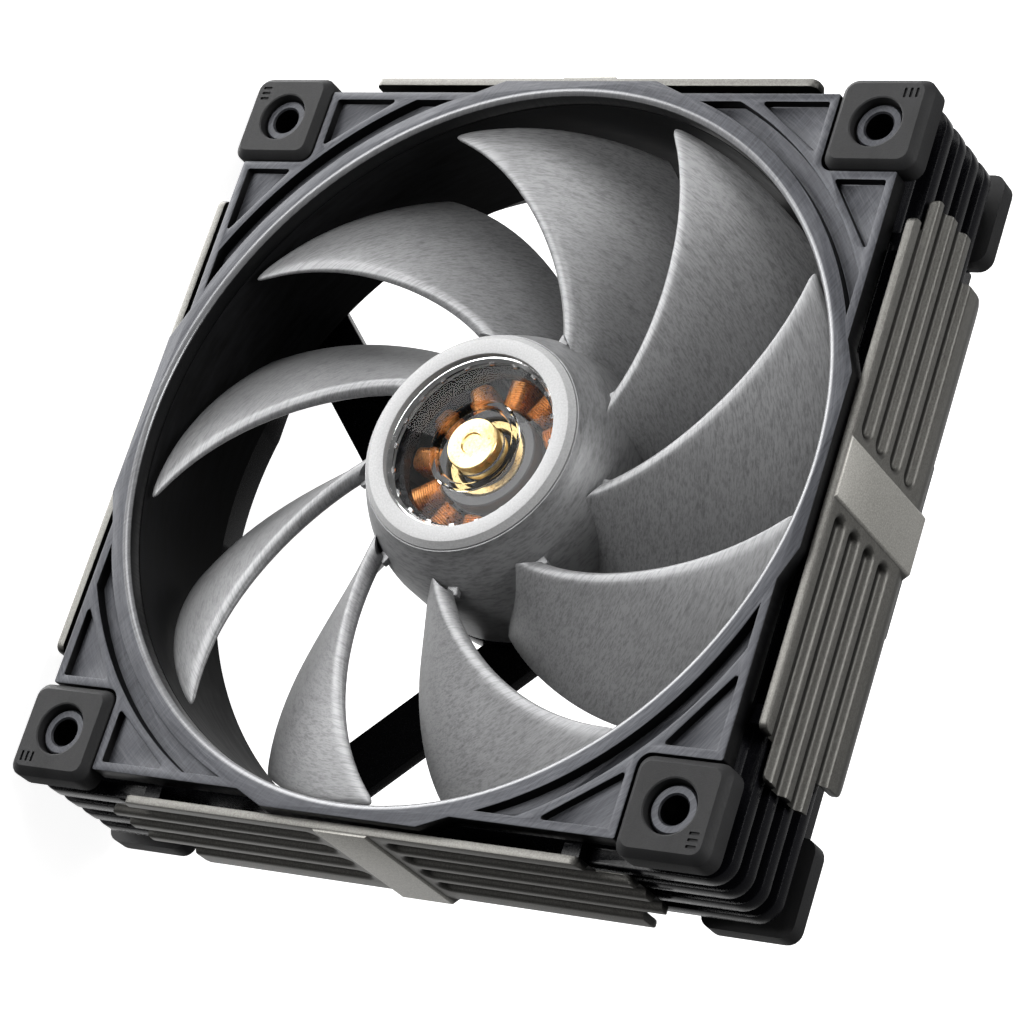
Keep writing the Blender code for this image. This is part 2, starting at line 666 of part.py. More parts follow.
def add_electronics():
    board = [circle(16.6, 32), circle(TUBE_RADII[1] + GAP, 24)]
    new_object("circuit_board", extruded_mesh(board, -26.3, -25.3), BOARD)
    chip = rounded_rectangle((10.2, -2.5), (14.2, 2.5), 0.2, 1)
    new_object("driver_chip", extruded_mesh([chip], -25.0, -24.0), FERRITE, turn=200)
    sensor = rounded_rectangle((13.0, -1.5), (15.6, 1.5), 0.2, 1)
    new_object("hall_sensor", extruded_mesh([sensor], -25.0, -24.2), FERRITE, turn=44)
    cover = [(0, BASE_BACK - GAP), (20.5, BASE_BACK - GAP), (20.5, -31.3), (20.1, -31.5), (0, -31.5)]
    turned("motor_cover", cover, FACE_PLASTIC)


add_front_bezel()
add_main_frame()
add_pads()
add_side_plates()
add_rotor()
add_bearing()
add_stator()
add_electronics()
bpy.context.view_layer.update()
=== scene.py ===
"""The looks of a 120 mm case fan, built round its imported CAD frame.

Pieces are modelled in the fan's own frame, in millimetres. Local Z runs out of the intake, with 0 at the
front pads' plane, and local X points to the side plate that is on top as the fan stands. FAN turns that
frame into world space, in metres. An outline is a list of (x, y) points and a profile of (radius, height).
"""

import json
import math

import bmesh
import bpy
from mathutils import Matrix, Vector


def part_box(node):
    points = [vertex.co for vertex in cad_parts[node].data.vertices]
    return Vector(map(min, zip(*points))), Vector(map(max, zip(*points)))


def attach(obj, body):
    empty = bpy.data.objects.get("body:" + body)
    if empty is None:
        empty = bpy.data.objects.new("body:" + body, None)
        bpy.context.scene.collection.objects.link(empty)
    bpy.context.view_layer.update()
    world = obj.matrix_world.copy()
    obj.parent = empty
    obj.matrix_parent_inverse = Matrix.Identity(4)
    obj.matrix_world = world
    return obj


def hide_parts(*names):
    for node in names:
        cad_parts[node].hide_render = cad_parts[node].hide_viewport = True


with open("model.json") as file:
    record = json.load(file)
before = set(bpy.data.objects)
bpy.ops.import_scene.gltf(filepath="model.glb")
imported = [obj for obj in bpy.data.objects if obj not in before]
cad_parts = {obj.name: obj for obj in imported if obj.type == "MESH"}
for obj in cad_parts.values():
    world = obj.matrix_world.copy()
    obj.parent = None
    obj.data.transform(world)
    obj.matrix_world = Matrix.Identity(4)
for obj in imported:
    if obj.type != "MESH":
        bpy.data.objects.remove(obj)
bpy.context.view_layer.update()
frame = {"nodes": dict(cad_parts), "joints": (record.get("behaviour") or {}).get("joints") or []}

MM = 0.001
AXIS_Z = frame["joints"][0]["pos_m"][2]
FRONT_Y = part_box("front_pad_1")[0].y
FAN = (
    Matrix.Translation((0, FRONT_Y, AXIS_Z))
    @ Matrix(((0, -1, 0), (0, 0, -1), (1, 0, 0))).to_4x4()
    @ Matrix.Scale(MM, 4)
)

# The sizes that several pieces share
DEPTH = (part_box("rear_pad_1")[1].y - FRONT_Y) / MM
PAD_HALF = 60.0
SCREW = 52.5
SCREW_HOLE = 2.15
DUCT = 57.5
LIP_RIM = 58.5
INNER, RIDGE, BAND = 60.1, 61.45, 61.8  # a side plate's inner face, its ridges and its band, from the axis
SPARE = 2  # how far a cutter runs past what it cuts


# Shader nodes


def shader_tree(name):
    """A new material with its Principled shader: (material, its tree, shader)."""
    material = bpy.data.materials.new(name)
    material.use_nodes = True
    tree = material.node_tree
    return material, tree, tree.nodes["Principled BSDF"]


def settings(shader, **values):
    """Sets the shader's sockets: base_color=... is the socket Base Color."""
    for key, value in values.items():
        socket = shader.inputs[key.replace("_", " ").title().replace("Ior", "IOR")]
        is_color = isinstance(value, tuple) and len(value) == 3
        socket.default_value = (*value, 1.0) if is_color else value


def math_node(tree, operation, *values):
    """A Math node's output. Each value is a number or another node's output."""
    node = tree.nodes.new("ShaderNodeMath")
    node.operation = operation
    for socket, value in zip(node.inputs, values):
        if hasattr(value, "default_value"):
            tree.links.new(value, socket)
        else:
            socket.default_value = value
    return node.outputs[0]


def progress(tree, value, low, high):
    """How far a value is on its way from low to high: 0 at low and 1 at high."""
    return math_node(tree, "MULTIPLY", math_node(tree, "SUBTRACT", value, low), 1 / (high - low))


def ramp(tree, factor, *stops):
    """A colour ramp of (position, colour) stops. A number stands for a grey."""
    node = tree.nodes.new("ShaderNodeValToRGB")
    elements = node.color_ramp.elements
    while len(elements) < len(stops):
        elements.new(0.5)
    for element, (position, color) in zip(elements, stops):
        element.position = position
        rgb = color if isinstance(color, tuple) else (color,) * 3
        element.color = (*rgb, 1.0)
    tree.links.new(factor, node.inputs["Fac"])
    return node.outputs["Color"]


def mix(tree, factor, first, second):
    """A mix of two colours, each a node's output or a constant: the first at 0 and the second at 1."""
    node = tree.nodes.new("ShaderNodeMix")
    node.data_type = "RGBA"
    for index, value in ((0, factor), (6, first), (7, second)):
        if hasattr(value, "default_value"):
            tree.links.new(value, node.inputs[index])
        else:
            node.inputs[index].default_value = (*value, 1.0)
    return node.outputs[2]


def bump(tree, shader, height, distance, strength):
    node = tree.nodes.new("ShaderNodeBump")
    node.inputs["Strength"].default_value = strength
    node.inputs["Distance"].default_value = distance
    tree.links.new(height, node.inputs["Height"])
    tree.links.new(node.outputs["Normal"], shader.inputs["Normal"])


def noise_node(tree, vector, scale, detail, roughness):
    """A noise's output, from 0 to 1."""
    noise = tree.nodes.new("ShaderNodeTexNoise")
    noise.inputs["Scale"].default_value = scale
    noise.inputs["Detail"].default_value = detail
    noise.inputs["Roughness"].default_value = roughness
    tree.links.new(vector, noise.inputs["Vector"])
    return noise.outputs["Fac"]


def streaks(tree, scale, stretch=(1, 1, 1), turn=(0, 0, 0), detail=6.0, roughness=0.6):
    """A noise in object space, turned by angles in degrees. Its marks are longer along an axis whose
    stretch is small."""
    place = tree.nodes.new("ShaderNodeTexCoord")
    turned = tree.nodes.new("ShaderNodeMapping")
    turned.inputs["Rotation"].default_value = [math.radians(angle) for angle in turn]
    scaled = tree.nodes.new("ShaderNodeMapping")
    scaled.inputs["Scale"].default_value = stretch
    tree.links.new(place.outputs["Object"], turned.inputs["Vector"])
    tree.links.new(turned.outputs["Vector"], scaled.inputs["Vector"])
    return noise_node(tree, scaled.outputs["Vector"], scale, detail, roughness)


def from_axis(tree):
    """A point's X and Z from the fan's axis, and its Y. A piece's object space is world space at rest."""
    place = tree.nodes.new("ShaderNodeTexCoord")
    split = tree.nodes.new("ShaderNodeSeparateXYZ")
    tree.links.new(place.outputs["Object"], split.inputs["Vector"])
    upward = math_node(tree, "SUBTRACT", split.outputs["Z"], AXIS_Z)
    return split.outputs["X"], upward, split.outputs["Y"]


def axis_radius(tree):
    across, upward, _ = from_axis(tree)
    squares = [math_node(tree, "MULTIPLY", value, value) for value in (upward, across)]
    return math_node(tree, "SQRT", math_node(tree, "ADD", *squares))


def round_streaks(tree, across, along, detail=4.0, roughness=0.6):
    """A noise whose marks run round the fan's axis: across and along are its scales, per metre and per
    radian. It changes more slowly along the axis than across it."""
    aside, upward, depth = from_axis(tree)
    slow = 0.4
    join = tree.nodes.new("ShaderNodeCombineXYZ")
    tree.links.new(math_node(tree, "MULTIPLY", axis_radius(tree), across), join.inputs["X"])
    angle = math_node(tree, "ARCTAN2", upward, aside)
    tree.links.new(math_node(tree, "MULTIPLY", angle, along), join.inputs["Y"])
    tree.links.new(math_node(tree, "MULTIPLY", depth, across * slow), join.inputs["Z"])
    return noise_node(tree, join.outputs["Vector"], 1.0, detail, roughness)


def facing_front(tree):
    """1 on faces that look out of the intake or the outlet, 0 on walls."""
    geometry = tree.nodes.new("ShaderNodeNewGeometry")
    split = tree.nodes.new("ShaderNodeSeparateXYZ")
    tree.links.new(geometry.outputs["Normal"], split.inputs["Vector"])
    return ramp(tree, math_node(tree, "ABSOLUTE", split.outputs["Y"]), (0.5, 0.0), (0.85, 1.0))


# Materials


def brushed_plastic():
    """Dark brushed faces with walls painted near-black as shade, and an inlet lip that is smooth and painted
    pale grey as a highlight.
    """
    material, tree, shader = shader_tree("brushed_bezel")
    hair = streaks(tree, 3200, (1, 0.02, 0.02), (0, 62, 0), 4, 0.7)
    rounds = round_streaks(tree, 3600, 16)
    cloud = streaks(tree, 120, (1, 1, 0.4), (0, 30, 0), detail=4)
    face = ramp(tree, hair, (0.3, (0.022, 0.023, 0.028)), (0.72, (0.066, 0.069, 0.08)))
    face = mix(tree, ramp(tree, rounds, (0.45, 0.0), (0.8, 0.7)), face, (0.11, 0.113, 0.123))
    face = mix(tree, ramp(tree, cloud, (0.4, 0.0), (0.7, 0.4)), face, (0.03, 0.031, 0.037))
    # Painted shade: walls, which face neither the intake nor the outlet, go near-black.
    color = mix(tree, facing_front(tree), (0.003, 0.003, 0.0035), face)

    # The lip's stops are at radii 57.51, 57.56, 58.2 and 58.52 mm. Between them the colour is a painted
    # highlight of pale grey.
    beyond = progress(tree, axis_radius(tree), (DUCT - 0.5) * MM, (DUCT + 1.5) * MM)
    lip = ramp(tree, beyond, (0.255, 0.0), (0.28, 1.0), (0.6, 1.0), (0.76, 0.0))
    painted_light = ramp(tree, hair, (0.3, (0.2, 0.202, 0.21)), (0.7, (0.3, 0.302, 0.31)))
    tree.links.new(mix(tree, lip, color, painted_light), shader.inputs["Base Color"])
    rough = ramp(tree, hair, (0.3, 0.32), (0.7, 0.48))
    tree.links.new(mix(tree, lip, rough, (0.25, 0.25, 0.25)), shader.inputs["Roughness"])
    settings(shader, metallic=0.35, specular_ior_level=0.35)
    bump(tree, shader, hair, 0.00002, 0.5)
    return material


def black_plastic(name, base, roughness, grain=2600, depth=0.00002, gloss=0.3):
    """A dark plastic or rubber with a fine grain; its palest clouds are brighter than base."""
    material, tree, shader = shader_tree(name)
    fine = streaks(tree, grain, detail=3)
    cloud = streaks(tree, 60, (1, 1, 2.5), detail=4)
    light = tuple(1.9 * value for value in base)
    tree.links.new(ramp(tree, cloud, (0.3, base), (0.75, light)), shader.inputs["Base Color"])
    rough = ramp(tree, fine, (0.3, roughness - 0.06), (0.7, roughness + 0.08))
    tree.links.new(rough, shader.inputs["Roughness"])
    settings(shader, specular_ior_level=gloss)
    bump(tree, shader, fine, depth, 0.5)
    return material


def plate_metal():
    """Sand-blasted champagne metal with painted shade: darker toward the grooves' floors and on its front and
    rear edges.
    """
    material, tree, shader = shader_tree("champagne_plate")
    grain = streaks(tree, 4200, detail=3, roughness=0.8)
    cloud = streaks(tree, 45, detail=4)
    color = ramp(tree, cloud, (0.3, (0.375, 0.364, 0.334)), (0.75, (0.475, 0.462, 0.426)))
    color = mix(tree, ramp(tree, grain, (0.4, 0.0), (0.65, 0.8)), color, (0.75, 0.738, 0.69))

    # A plate's faces stand along X or Z, so the larger of the two distances is the height above the fan.
    # The stops are at 60.6 mm, above the grooves' floors, at 61.4 mm, below the ridges, and at 61.7 mm,
    # below the band.
    across, upward, _ = from_axis(tree)
    height = math_node(
        tree, "MAXIMUM", math_node(tree, "ABSOLUTE", across), math_node(tree, "ABSOLUTE", upward)
    )
    above = progress(tree, height, 60 * MM, 62 * MM)
    # Painted shade: the lower a face lies, down to the grooves' floors, the darker it is painted.
    painted_light = ramp(tree, above, (0.3, 0.0), (0.7, 0.2), (0.85, 1.0))
    edge_share = 0.3
    front = math_node(tree, "MULTIPLY", facing_front(tree), edge_share)
    # Walls and low faces are mixed toward near-black as painted shade; faces toward the front keep at least
    # edge_share of their colour.
    color = mix(tree, math_node(tree, "MAXIMUM", painted_light, front), (0.012, 0.0115, 0.01), color)
    tree.links.new(color, shader.inputs["Base Color"])
    tree.links.new(ramp(tree, grain, (0.3, 0.34), (0.7, 0.5)), shader.inputs["Roughness"])
    settings(shader, metallic=0.7)
    bump(tree, shader, grain, 0.00005, 0.6)
    return material


def blade_plastic():
    """Grey plastic with flow marks that run round the axis."""
    material, tree, shader = shader_tree("blade_grey")
    flow = round_streaks(tree, 1700, 5, 6, 0.7)
    fine = round_streaks(tree, 4500, 12, 3, 0.65)
    cloud = streaks(tree, 38, detail=3)
    color = ramp(tree, cloud, (0.3, (0.29, 0.292, 0.297)), (0.7, (0.36, 0.362, 0.367)))
    color = mix(tree, ramp(tree, flow, (0.3, 0.5), (0.5, 0.0)), color, (0.11, 0.11, 0.114))
    color = mix(tree, ramp(tree, fine, (0.35, 0.5), (0.55, 0.0)), color, (0.13, 0.13, 0.134))
    color = mix(tree, ramp(tree, flow, (0.55, 0.0), (0.75, 0.35)), color, (0.38, 0.382, 0.388))
    tree.links.new(color, shader.inputs["Base Color"])
    tree.links.new(ramp(tree, fine, (0.3, 0.38), (0.7, 0.5)), shader.inputs["Roughness"])
    settings(shader, metallic=0.35, specular_ior_level=0.4)
    bump(tree, shader, fine, 0.00003, 0.5)
    return material


def satin_ring():
    material, tree, shader = shader_tree("satin_ring")
    grain = streaks(tree, 3600, detail=3)
    lathe_marks = streaks(tree, 800, (1, 0.1, 1), detail=4)
    face = ramp(tree, grain, (0.3, (0.42, 0.42, 0.422)), (0.7, (0.54, 0.54, 0.542)))
    side = ramp(tree, grain, (0.3, (0.24, 0.24, 0.242)), (0.7, (0.3, 0.3, 0.302)))
    # The sides are a darker copy of the face colour: painted shade.
    tree.links.new(mix(tree, facing_front(tree), side, face), shader.inputs["Base Color"])
    tree.links.new(ramp(tree, lathe_marks, (0.3, 0.55), (0.7, 0.65)), shader.inputs["Roughness"])
    settings(shader, metallic=0.1, specular_ior_level=0.35)
    bump(tree, shader, grain, 0.00002, 0.3)
    return material


def metal(name, dark, light, roughness, scale, stretch=(1, 1, 1), metallic=1.0, relief=0.00001):
    material, tree, shader = shader_tree(name)
    lines = streaks(tree, scale, stretch, detail=5)
    tree.links.new(ramp(tree, lines, (0.3, dark), (0.7, light)), shader.inputs["Base Color"])
    rough = ramp(tree, lines, (0.3, roughness), (0.7, roughness + 0.12))
    tree.links.new(rough, shader.inputs["Roughness"])
    settings(shader, metallic=metallic)
    bump(tree, shader, lines, relief, 0.3)
    return material


def clear_plastic():
    material, tree, shader = shader_tree("clear_window")
    smear = streaks(tree, 300, detail=3)
    tree.links.new(ramp(tree, smear, (0.3, 0.015), (0.8, 0.05)), shader.inputs["Roughness"])
    settings(shader, base_color=(0.96, 0.965, 0.96), transmission_weight=1.0, ior=1.2)
    bump(tree, shader, smear, 0.00001, 0.1)
    return material


def duct_dark():
    """The duct's wall: almost no gloss, because the camera sees it at a grazing angle."""
    material, tree, shader = shader_tree("dark_duct")
    fine = round_streaks(tree, 2600, 10)
    color = ramp(tree, fine, (0.3, 0.004), (0.75, (0.013, 0.0132, 0.0145)))
    tree.links.new(color, shader.inputs["Base Color"])
    tree.links.new(ramp(tree, fine, (0.3, 0.5), (0.7, 0.62)), shader.inputs["Roughness"])
    settings(shader, specular_ior_level=0.08)
    bump(tree, shader, fine, 0.00001, 0.3)
    return material


def floor_white():
    material, tree, shader = shader_tree("pale_floor")
    cloud = streaks(tree, 2.0, detail=2)
    tree.links.new(ramp(tree, cloud, (0.3, 0.93), (0.7, 0.95)), shader.inputs["Base Color"])
    settings(shader, roughness=0.9, emission_color=(1, 1, 1), emission_strength=0.88)
    material.cycles.emission_sampling = "NONE"
    return material


BEZEL = brushed_plastic()
BLACK = black_plastic("black_frame", (0.003, 0.003, 0.004), 0.24, depth=0.000002, gloss=0.22)
RUBBER = black_plastic("pad_rubber", (0.012, 0.012, 0.0125), 0.6, 4200, 0.00004, 0.25)
PLATE = plate_metal()
BLADE = blade_plastic()
RING = satin_ring()
CLEAR = clear_plastic()
BRASS = metal("bright_brass", (0.72, 0.5, 0.2), (0.95, 0.75, 0.4), 0.26, 2500, relief=0.0000003)
SLEEVE = metal("tube_brass", (0.62, 0.45, 0.2), (0.85, 0.65, 0.33), 0.24, 2500, relief=0.0000003)
COPPER = metal("enamelled_copper", (0.5, 0.19, 0.05), (0.9, 0.4, 0.13), 0.24, 1500, metallic=0.75)
STEEL = metal("plain_steel", (0.4, 0.4, 0.41), (0.6, 0.6, 0.61), 0.28, 1200, (1, 0.1, 1))
CHROME = metal("window_edge", (0.78, 0.78, 0.78), (0.95, 0.95, 0.95), 0.06, 900)
DARK = duct_dark()
COLLAR = black_plastic("grey_collar", (0.05, 0.05, 0.053), 0.45)
FERRITE = black_plastic("ferrite", (0.03, 0.03, 0.033), 0.55)
BOARD = black_plastic("green_board", (0.006, 0.045, 0.02), 0.4, 900)


# Shapes


def polar(radius, degrees):
    angle = math.radians(degrees)
    return (radius * math.cos(angle), radius * math.sin(angle))


def circle(radius, steps=192, centre=(0.0, 0.0)):
    points = (polar(radius, 360 * i / steps) for i in range(steps))
    return [(centre[0] + x, centre[1] + y) for x, y in points]


def filleted(corners, radius, steps=6):
    """A closed outline with each corner turned into an arc; radius is one number or one for each corner."""
    radii = radius if isinstance(radius, list) else [radius] * len(corners)
    straight = math.radians(178)
    points = []
    for i, (corner, size) in enumerate(zip(corners, radii)):
        here = Vector(corner)
        back = (Vector(corners[i - 1]) - here).normalized()
        on = (Vector(corners[(i + 1) % len(corners)]) - here).normalized()
        angle = back.angle(on)
        if size <= 0 or angle > straight:
            points.append(tuple(here))
            continue
        reach = size / math.tan(angle / 2)
        centre = here + (back + on).normalized() * (size / math.sin(angle / 2))
        start, end = here + back * reach - centre, here + on * reach - centre
        swing = start.angle_signed(end)
        for step in range(steps + 1):
            points.append(tuple(centre + Matrix.Rotation(-swing * step / steps, 2) @ start))
    return points


def box_outline(x1, x2, y1, y2):
    return [(x1, y1), (x2, y1), (x2, y2), (x1, y2)]


def four_sides(side):
    """A closed outline from the points of one side, repeated a quarter turn on each time."""
    points = []
    for quarter in range(4):
        turn = Matrix.Rotation(math.radians(90 * quarter), 2)
        points += [tuple(turn @ Vector(point)) for point in side]
    return points


def mesh_of(work):
    bmesh.ops.recalc_face_normals(work, faces=work.faces)
    mesh = bpy.data.meshes.new("piece")
    work.to_mesh(mesh)
    work.free()
    return mesh


def prism(outline, low, high):
    """A solid with this outline between two heights."""
    work = bmesh.new()
    below = [work.verts.new((x, y, low)) for x, y in outline]
    above = [work.verts.new((x, y, high)) for x, y in outline]
    for i in range(len(below)):
        j = (i + 1) % len(below)
        work.faces.new((below[i], below[j], above[j], above[i]))
    work.faces.new(list(reversed(below)))
    work.faces.new(above)
    return mesh_of(work)


def loft(rings, closed_along=False, caps=False):
    """A skin over rings of points that all have the same number of points. A ring of size 0 becomes a tip."""
    work = bmesh.new()
    loops = [[work.verts.new(point) for point in ring] for ring in rings]
    pairs = list(zip(loops, loops[1:]))
    if closed_along:
        pairs.append((loops[-1], loops[0]))
    for first, second in pairs:
        for i in range(len(first)):
            j = (i + 1) % len(first)
            work.faces.new((first[i], first[j], second[j], second[i]))
    if caps:
        work.faces.new(list(reversed(loops[0])))
        work.faces.new(loops[-1])
    bmesh.ops.remove_doubles(work, verts=work.verts, dist=1e-5)
    return mesh_of(work)


def lathe(profile, steps=128, centre=(0.0, 0.0)):
    """A closed profile turned about a line along local Z."""
    rings = []
    for radius, height in profile:
        rings.append([(centre[0] + x, centre[1] + y, height) for x, y in circle(radius, steps)])
    return loft(rings, closed_along=True)


def joined(meshes):
    work = bmesh.new()
    for mesh in meshes:
        work.from_mesh(mesh)
    result = bpy.data.meshes.new("joined")
    work.to_mesh(result)
    work.free()
    return result


def turned_copy(mesh, degrees):
    copy = mesh.copy()
    copy.transform(Matrix.Rotation(math.radians(degrees), 4, "Z"))
    return copy


def around(mesh, count=4):
    return [turned_copy(mesh, 360 / count * i) for i in range(count)]


def helper(mesh):
    obj = bpy.data.objects.new("helper", mesh)
    bpy.context.scene.collection.objects.link(obj)
    return obj


def evaluated(obj):
    """The mesh of a helper object after its modifiers. The object itself is removed."""
    bpy.context.view_layer.update()
    graph = bpy.context.evaluated_depsgraph_get()
    mesh = bpy.data.meshes.new_from_object(obj.evaluated_get(graph))
    bpy.data.objects.remove(obj, do_unlink=True)
    return mesh


def combined(mesh, others, operation="DIFFERENCE"):
    """A Boolean of a mesh with several others, which don't touch one another."""
    body, tool = helper(mesh), helper(joined(others))
    modifier = body.modifiers.new("combine", "BOOLEAN")
    modifier.operation = operation
    modifier.object = tool
    result = evaluated(body)
    bpy.data.objects.remove(tool, do_unlink=True)
    return result


def bevelled(mesh, width, segments=2):
    """The mesh with its edges sharper than 28 degrees rounded."""
    obj = helper(mesh)
    modifier = obj.modifiers.new("edge", "BEVEL")
    modifier.width = width
    modifier.segments = segments
    modifier.limit_method = "ANGLE"
    modifier.angle_limit = math.radians(28)
    modifier.use_clamp_overlap = False
    return evaluated(obj)


def add_piece(name, mesh, material, body, nodes, smooth=32):
    """Adds a mesh as a piece that rides on a body and replaces CAD nodes. Edges of more than smooth
    degrees stay sharp."""
    mesh.transform(FAN)
    mesh.materials.clear()
    mesh.materials.append(material)
    mesh.shade_smooth()
    mesh.set_sharp_from_angle(angle=math.radians(smooth))
    obj = bpy.data.objects.new(name, mesh)
    bpy.context.scene.collection.objects.link(obj)
    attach(obj, body)
    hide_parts(*nodes)
    return obj


# Front bezel: its front and back, and its half size beside the corners and at the bulge in the middle of
# each side, which is flat up to one distance from the middle and ends at the next

FACE, FACE_BACK = -1.0, -4.3
FACE_HALF, BULGE_HALF, BULGE_FLAT, BULGE_END = 57.7, 59.8, 13.4, 18.3
# A pad lies in each corner, beyond this distance along both sides
POCKET, POCKET_CORNER = 45.0, 2.0


def inlet_cutter():
    """The inlet with its rounded lip, which is an arc that stops short of a right angle."""
    wide, deep = LIP_RIM - DUCT, 0.9
    profile = [(LIP_RIM + SPARE, FACE + SPARE), (LIP_RIM, FACE)]
    for angle in (0.3, 0.6, 0.9, 1.25):
        profile.append((DUCT + wide * (1 - math.sin(angle)), FACE - deep * (1 - math.cos(angle))))
    profile += [(DUCT, FACE - deep), (DUCT, FACE_BACK - SPARE), (0, FACE_BACK - SPARE), (0, FACE + SPARE)]
    return lathe(profile, 192)


def recess_cutters():
    """The recesses in the face: two triangles beside each pad and a crescent between them and the lip."""
    edge, near, far, tip = 56.3, 43.6, 48.0, 32.2
    triangle = filleted([(far, near), (edge, near), (edge, tip)], 0.3, 3)
    mirrored = [(y, x) for x, y in reversed(triangle)]

    inner, outer, steps_in, steps_out = 60.5, 63.2, 44, 40
    start_in, start_out = (math.degrees(math.acos(edge / radius)) for radius in (inner, outer))
    crescent = []
    for i in range(steps_out + 1):
        crescent.append(polar(outer, start_out + (90 - 2 * start_out) * i / steps_out))
    for i in range(steps_in, -1, -1):
        crescent.append(polar(inner, start_in + (90 - 2 * start_in) * i / steps_in))

    cutters = []
    for outline, depth in ((triangle, 1.5), (mirrored, 1.5), (crescent, 2.0)):
        cutters += around(prism(outline, FACE - depth, FACE + 1))
    return cutters


def add_bezel():
    side = [
        (FACE_HALF, -BULGE_END),
        (BULGE_HALF, -BULGE_FLAT),
        (BULGE_HALF, BULGE_FLAT),
        (FACE_HALF, BULGE_END),
        (FACE_HALF, POCKET),
        (POCKET, POCKET),
        (POCKET, FACE_HALF),
    ]
    outline = filleted(four_sides(side), [0, 0, 0, 0, 0.4, POCKET_CORNER, 0.4] * 4)
    bezel = combined(prism(outline, FACE_BACK, FACE), [inlet_cutter()])
    bezel = bevelled(combined(bezel, recess_cutters()), 0.16)
    add_piece("bezel", bezel, BEZEL, "frame", ["front_bezel"])


add_bezel()

# Main frame: duct, ribbed corner posts, screw bosses, struts and motor base

CORE_FRONT, BACK = -4.6, -30.8
RIB_HALF, RIB_ROOT, RIB_START, RIB_CORNER, RIB_THICK = 59.5, 57.0, 36.5, 3.5, 2.6
RIB_MIDDLES = [-8.9 - 4.75 * i for i in range(4)]
# Toward the outlet the duct widens to a rounded square
FLARE_HALF, FLARE_FRONT = 56.5, -26.0
# Where the rear pads' pockets start
REAR_POCKET = -DEPTH + 4.6


def core_mesh():
    """The frame without its ribs; the ribs' ends lap over it."""
    start = RIB_START - 0.6
    side = [
        (FACE_HALF, -start),
        (FACE_HALF, -BULGE_END),
        (BULGE_HALF, -BULGE_FLAT),
        (BULGE_HALF, BULGE_FLAT),
        (FACE_HALF, BULGE_END),
        (FACE_HALF, start),
        (RIB_ROOT, start),
        (RIB_ROOT, RIB_ROOT),
        (start, RIB_ROOT),
    ]
    outline = filleted(four_sides(side), [0, 0, 0, 0, 0, 0, 0, RIB_CORNER, 0] * 4)
    return prism(outline, BACK, CORE_FRONT)


def rib_meshes():
    """The cooling ribs, stacked at the four corners."""
    inner = 52.0
    corners = [
        (RIB_HALF, RIB_START),
        (RIB_HALF, RIB_HALF),
        (RIB_START, RIB_HALF),
        (RIB_START, inner),
        (inner, RIB_START),
    ]
    rib = filleted(corners, [0.5, RIB_CORNER, 0.5, 0, 0], 8)
    ribs = []
    for middle in RIB_MIDDLES:
        ribs += around(prism(rib, middle - RIB_THICK / 2, middle + RIB_THICK / 2))
    return ribs


def add_frame_shell():
    beyond = 64
    pocket = filleted(box_outline(POCKET, beyond, POCKET, beyond), [POCKET_CORNER, 0, 0, 0])
    square = [(FLARE_HALF, FLARE_HALF), (-FLARE_HALF, FLARE_HALF), (-FLARE_HALF, -FLARE_HALF)]
    flare = filleted([*square, (FLARE_HALF, -FLARE_HALF)], 42.0, 28)
    hole = circle(SCREW_HOLE, 32, (SCREW, SCREW))
    shell = combined(core_mesh(), rib_meshes(), "UNION")
    shell = combined(shell, around(prism(pocket, BACK - 1, REAR_POCKET)))
    shell = combined(shell, [prism(circle(DUCT), BACK - SPARE, 0)])
    shell = combined(shell, [prism(flare, BACK - SPARE, FLARE_FRONT)])
    shell = combined(shell, around(prism(hole, BACK - SPARE, 1)))
    add_piece("frame_shell", bevelled(shell, 0.3), BLACK, "frame", ["main_frame"])


def boss_mesh(top, root):
    """A screw boss's wall, with a chamfered rim at its top."""
    radius, chamfer = 3.6, 0.25
    shy = top + math.copysign(chamfer, root - top)
    wall = [(radius, shy), (radius, root), (SCREW_HOLE, root), (SCREW_HOLE, shy)]
    wall += [(SCREW_HOLE + chamfer, top), (radius - chamfer, top)]
    return lathe(wall, 48, (SCREW, SCREW))


def add_bosses():
    front = boss_mesh(-1.2, -6.0)
    rear = boss_mesh(-DEPTH + 1.2, REAR_POCKET - 0.4)
    bosses = joined(around(front) + around(rear))
    add_piece("screw_bosses", bosses, BEZEL, "frame", ["main_frame"])


def add_liner():
    """The duct's wall, a skin that stands just inside the shell."""
    outside, inside, front = DUCT + 0.1, DUCT - 0.06, -4.2
    liner = [(outside, front), (outside, FLARE_FRONT), (inside, FLARE_FRONT), (inside, front)]
    add_piece("duct_liner", lathe(liner, 192), DARK, "frame", ["main_frame"])


def add_struts():
    """Four struts that pass beside the axis, and the cup that holds the motor."""
    near, far, front, back = 12.2, 21.4, -28.0, -30.3
    wall = (FLARE_HALF + 0.4) * math.sqrt(2)
    strut = prism([(near, 0), (far, 0), (far, far - wall), (near, near - wall)], back, front)

    radius, rim, under, floor, hole, chamfer = 21.9, -26.6, -30.6, -27.6, 3, 0.3
    inside = radius - 1.5
    cup = [(radius, rim), (radius, under + chamfer), (radius - chamfer, under)]
    cup += [(hole, under), (hole, floor), (inside, floor), (inside, rim)]
    struts = [turned_copy(strut, 90 * i - 45) for i in range(4)]
    carrier = bevelled(combined(lathe(cup), struts, "UNION"), 0.25)
    add_piece("struts", carrier, BLACK, "frame", ["main_frame"])


add_frame_shell()
add_bosses()
add_liner()
add_struts()

# Corner pads


def square_point(direction, half, radius, centre):
    """Where a ray from the origin meets a rounded square about a centre."""
    step = Vector(polar(1, direction))
    low, high = 0.0, 3 * half
    for _ in range(30):
        middle = (low + high) / 2
        x, y = abs(step.x * middle - centre[0]), abs(step.y * middle - centre[1])
        excess = Vector((max(x - half + radius, 0), max(y - half + radius, 0))).length - radius
        inside = excess < 0 and max(x, y) < half
        low, high = (middle, high) if inside else (low, middle)
    return step * low


